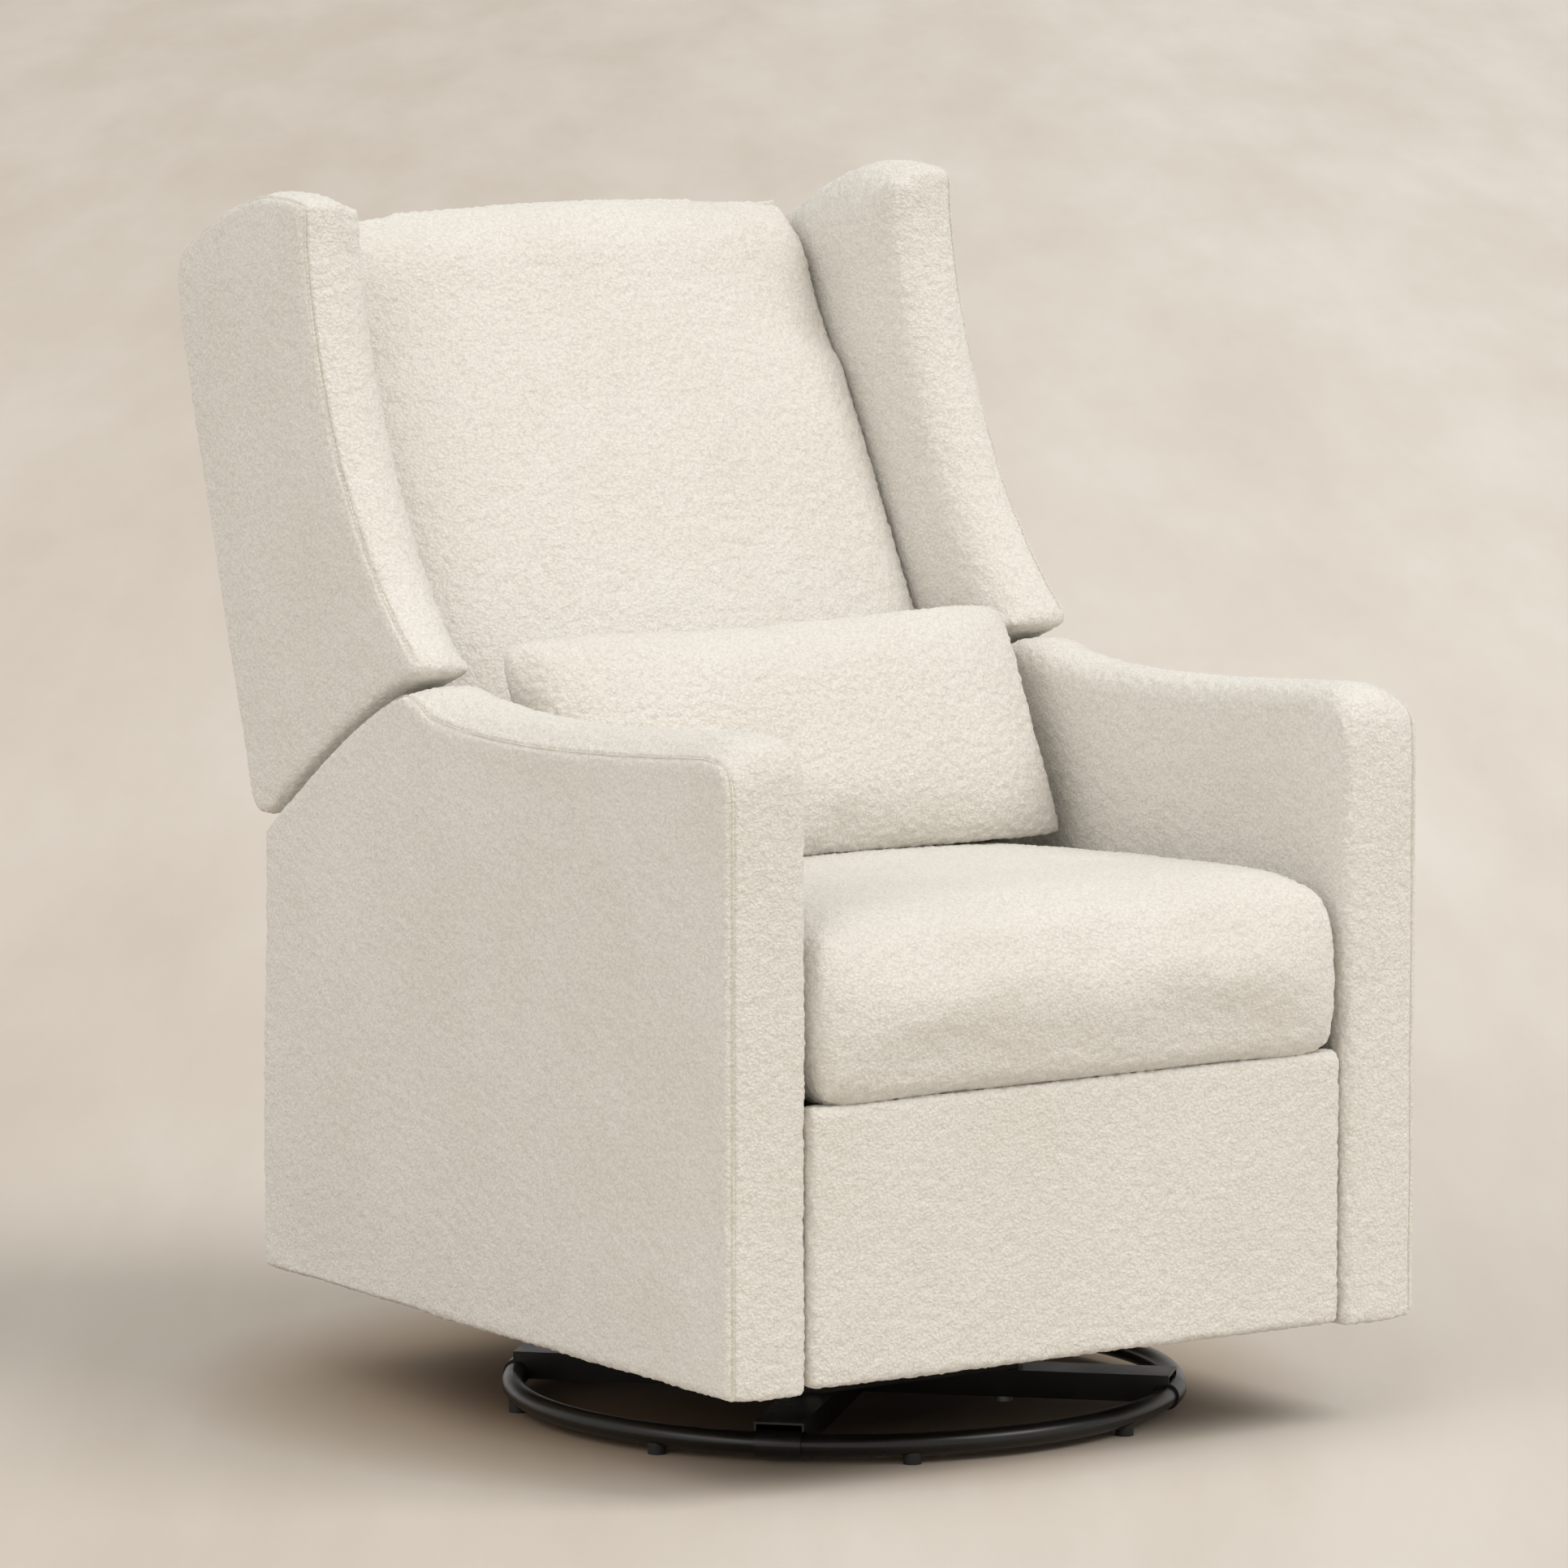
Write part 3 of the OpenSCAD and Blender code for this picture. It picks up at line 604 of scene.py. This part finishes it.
def stuffed(mesh, size, cap, pressure, limits, ironed=8):
    """Blows a closed cover up as its stuffing does, no point further than the cap. Limits are
    the faces of its neighbours, by axis."""
    net = woven_over(mesh, size, 4)
    rest = spots(net)
    frames = 20
    skin = bpy.data.objects.new("skin", net)
    scene.collection.objects.link(skin)
    cloth = skin.modifiers.new("cloth", "CLOTH")
    cloth.settings.quality = 5
    cloth.settings.mass = 0.3
    cloth.settings.tension_stiffness = 18
    cloth.settings.compression_stiffness = 18
    cloth.settings.shear_stiffness = 8
    cloth.settings.bending_stiffness = 6
    cloth.settings.use_pressure = True
    cloth.settings.uniform_pressure_force = pressure
    cloth.settings.effector_weights.gravity = 0
    cloth.collision_settings.use_collision = False
    cloth.point_cache.frame_start = 1
    cloth.point_cache.frame_end = frames
    for f in range(1, frames + 1):
        scene.frame_set(f)
    posed = skin.evaluated_get(bpy.context.evaluated_depsgraph_get())
    swollen = np.empty(len(net.vertices) * 3, np.float32)
    posed.data.vertices.foreach_get("co", swollen)
    move = swollen.reshape(-1, 3) - rest
    far = np.linalg.norm(move, axis=1)
    move *= np.minimum(1, cap / np.maximum(far, 1e-9))[:, None]
    rest = rest + move
    bpy.data.objects.remove(skin)
    scene.frame_set(1)
    for axis, (low, high) in limits.items():
        rest[:, axis] = np.clip(rest[:, axis], low, high)
    put(net, rest)
    return eased(net, ironed)


def cushion(outline, half, falls, edge):
    """A cushion block: its outline arched down towards both sides, with rounded side edges."""
    p = np.array(outline)
    out = outward(outline)
    arch, corner = np.array([falls(n, q) for n, q in zip(out, p)]).T
    steps = [(half - d, share) for d, share in ellipse(edge, 5)]
    steps += [(x, 0) for x in np.arange(half - edge - 25, 12, -25)]
    steps += [(-x, share) for x, share in reversed(steps)]
    return lofted([(x, p - out * (arch * (x / half) ** 2 + corner * share)[:, None])
                   for x, share in steps])


seat_outline = walked(quad((268, 462), (100, 466), (-140, 483), 8)
                      + quad((-140, 483), (-250, 489), (-328, 489), 5)
                      + quad((-362, 486), (-380, 464), (-379, 415), 8)
                      + quad((-381, 385), (-381, 329), (-372, 329), 5)
                      + [(268, 329)])


def seat_falls(n, q):
    up, front = max(0.0, n[1]), max(0.0, -n[0])
    return 9 * up + 2 * front, 2 + 7 * up + 4 * front


cushion_cell = 7 * mm
bm = cushion(seat_outline, 275, seat_falls, 28)
net = stuffed(as_mesh(bm, "seat_cushion_cover"), cushion_cell, 10 * mm, pressure=3.5,
              limits={0: (-0.2764, 0.2764), 2: (0.3285, 1), 1: (-0.392, 0.2735)}, ironed=18)
upholster("seat_cushion_cover", net, "seat", ["seat_cushion"])


# Back cushion: one smooth padded panel between the wings, its top edge gently crowned.

def front_y(z):
    return 140 + (z - 480) * 0.562


def rear_y(z):
    return 428 + (z - 507) * 0.2815 - 44


back_outline = walked([(front_y(466), 466)]
                      + quad((front_y(968), 968), (424, 998), (458, 1018), 8)
                      + quad((486, 1035), (512, 1032), (rear_y(996) - 2, 994), 6)
                      + [(rear_y(980), 975), (383, 508), (309, 441), (309, 404), (292, 404), (288, 466)])


def back_falls(n, q):
    top = max(0.0, n[1]) if q[1] > 900 else 0.0
    front = max(0.0, -n[0])
    return 14 * top + 30 * front, 2 + 2 * top + 5 * front


bm = cushion(back_outline, 276, back_falls, 16)
net = stuffed(as_mesh(bm, "back_cushion_cover"), cushion_cell, 6 * mm, pressure=3.0,
              limits={0: (-0.2785, 0.2785), 2: (0.40, 1.042)})
upholster("back_cushion_cover", net, "back", ["back_cushion"])


# Lumbar pillow: loose, knife edged, fibre filled; its case has soft corners and no piping.

pillow_at = Vector((0.0, 0.094, 0.569))
pillow_lean = math.radians(26)


def pillow_block(width, height, thick):
    """Two crowned halves joined round their edge, the edge drawn in between the corners."""
    bm = bmesh.new()
    bmesh.ops.create_cube(bm, size=2)
    bmesh.ops.subdivide_edges(bm, edges=bm.edges, cuts=23, use_grid_fill=True)
    for vert in bm.verts:
        u, v, w = vert.co
        waist_u = 1 - 0.035 * (1 - v * v)
        waist_v = 1 - 0.045 * (1 - u * u)
        dome = (1 - abs(u) ** 4.5) ** 0.5 * (1 - abs(v) ** 3.0) ** 0.5
        soft = 1 - 0.035 * (u * v) ** 8
        x = u * width / 2 * waist_u * soft
        z = v * height / 2 * waist_v * (2 * soft - 1)
        vert.co = (x, w * (0.004 + thick / 2 * dome), z)
    return bm


bm = pillow_block(0.544, 0.246, 0.114)
bmesh.ops.transform(bm, verts=bm.verts, matrix=Matrix.Translation(pillow_at)
                    @ Matrix.Rotation(-pillow_lean, 4, "X"))
net = stuffed(as_mesh(bm, "lumbar_pillow_cover"), 5.0 * mm, 7 * mm, pressure=3.0,
              limits={0: (-0.2745, 0.2745), 2: (0.480, 1)})
upholster("lumbar_pillow_cover", net, "pillow", ["lumbar_pillow"])


# Footrest pad: thin foam on a board, wrapped and stapled behind; the front panel when closed.

def rounded(y0, y1, z0, z1, r):
    """A board's section with rounded corners."""
    return walked(quad((y0, z0 + r), (y0, z0), (y0 + r, z0), 3)
                  + quad((y1 - r, z0), (y1, z0), (y1, z0 + r), 3)
                  + quad((y1, z1 - r), (y1, z1), (y1 - r, z1), 3)
                  + quad((y0 + r, z1), (y0, z1), (y0, z1 - r), 3))


def pad_drops(n, q):
    fall = 2 + 6 * max(0.0, -n[0])
    return fall, fall


def no_drops(n, q):
    return 0, 0


pad_outline = rounded(-361, -334.5, 94, 335.5, 5)
bm, _, _ = boxed(pad_outline, 278.4, -278.4, pad_drops, (6, 6))
net = woven_over(as_mesh(bm, "footrest_cover"), cell, 1)
upholster("footrest_cover", net, "footrest", ["footrest_pad"], swell=0.7)


# Outside back and rear panel: cover cloth over card and light padding, closed by hand.

shell_outline = walked([(409, 385), (413, 385), (428, 507), (552, 951), (550, 985), (538, 1002),
                        (519.5, 1015), (519.5, 975), (538.5, 960), (411.5, 508), (421, 500)], 6)
bm, _, _ = boxed(shell_outline, 279.5, -279.5, no_drops, (4, 4))
net = woven_over(as_mesh(bm, "outside_back_cover"), 3.6 * mm, 1)
upholster("outside_back_cover", net, "back", ["outside_back"], swell=0.4)

bm, _, _ = boxed(rounded(382.5, 397.5, 91, 374.5, 5), 278, -278, no_drops, (6, 6))
net = woven_over(as_mesh(bm, "rear_panel_cover"), cell, 2)
upholster("rear_panel_cover", net, "chassis", ["rear_panel"], swell=0.5)


# Controls: two satin buttons in the bezel on the right arm's inner face.

coat("recline_button return_button", moulded("button_plastic", (0.12, 0.12, 0.118), 0.4, 500))


# Studio: one large plaster-toned floor that runs past the view, its colour carrying a painted shadow under
# the ring and painted light, lighter to the right and at middle distance; a broad warm key from the sitter's
# left front, a fill from the right and an even surround.

floor_half = 60
bm = bmesh.new()
bmesh.ops.create_grid(bm, x_segments=4, y_segments=4, size=floor_half)
floor = bpy.data.objects.new("studio_floor", as_mesh(bm, "studio_floor"))
scene.collection.objects.link(floor)
made, tree, shader = material("plaster_floor", (0.70, 0.61, 0.52), 0.95)
view_turn = math.radians(-33.81)
wash = noise(tree, 3.2, 12, (1, 8, 1), view_turn)
wash.inputs["Roughness"].default_value = 0.62
tint = ramp(tree, wash.outputs["Fac"], [(0.35, (0.548, 0.498, 0.437)), (0.65, (0.606, 0.561, 0.506))])
across = add(tree, "ShaderNodeMapping", vector_type="TEXTURE", Rotation=(0, 0, view_turn))
place = add(tree, "ShaderNodeTexCoord")
tree.links.new(place.outputs["Object"], across.inputs["Vector"])
apart = add(tree, "ShaderNodeSeparateXYZ")
tree.links.new(across.outputs["Vector"], apart.inputs["Vector"])
spread = add(tree, "ShaderNodeMapRange")
spread.inputs["From Min"].default_value = -0.9
spread.inputs["From Max"].default_value = 0.9
tree.links.new(apart.outputs["X"], spread.inputs["Value"])
# Painted light across the view: the floor colour runs from about 7% darker and warmer at the left to about
# 7% lighter and cooler at the right, standing in for the fall of the key light.
painted_light_across = ramp(tree, spread.outputs["Result"], [(0.0, (0.93, 0.915, 0.90)), (1.0, (1.068, 1.075, 1.09))])
depth = add(tree, "ShaderNodeMapRange")
depth.inputs["From Max"].default_value = 17.0
tree.links.new(apart.outputs["Y"], depth.inputs["Value"])
# Painted light with depth: the floor colour rises about 5% a few metres along the view and falls about 5%
# far off, standing in for the floor's grazing sheen.
painted_light_with_depth = ramp(tree, depth.outputs["Result"], [(0.0, grey(1.0)), (1.0, grey(0.95)), (0.22, grey(1.05))])
# Painted shadow: the floor colour turns dark and warm within about half a metre of a point under the ring,
# standing in for the shade beneath the chair.
under = add(tree, "ShaderNodeVectorMath", operation="DISTANCE")
under.inputs[1].default_value = (-0.03, 0.12, 0.0)
tree.links.new(place.outputs["Object"], under.inputs[0])
painted_under_shadow = ramp(tree, under.outputs["Value"],
           [(0.22, (0.36, 0.27, 0.20)), (0.52, grey(1.0)), (0.34, (0.72, 0.63, 0.54))])
toned = times(tree, times(tree, tint, painted_light_across), painted_light_with_depth)
tree.links.new(times(tree, toned, painted_under_shadow), shader.inputs["Base Color"])
shader.inputs["Specular IOR Level"].default_value = 0.1
floor.data.materials.append(made)

surround = bpy.data.worlds.new("surround")
scene.world = surround
surround.use_nodes = True
even = surround.node_tree.nodes["Background"]
even.inputs["Color"].default_value = (1.0, 0.985, 0.96, 1)
even.inputs["Strength"].default_value = 0.62


def sun(name, towards_light, energy, spread, colour):
    lamp = bpy.data.objects.new(name, bpy.data.lights.new(name, "SUN"))
    lamp.data.energy = energy
    lamp.data.angle = math.radians(spread)
    lamp.data.color = colour
    lamp.rotation_euler = Vector(towards_light).to_track_quat("Z", "Y").to_euler()
    scene.collection.objects.link(lamp)


sun("key_light", (0.50, -0.68, 0.95), 1.62, 36, (1.0, 0.98, 0.945))
sun("side_fill", (-0.85, -0.30, 0.75), 1.05, 60, (1.0, 0.985, 0.955))
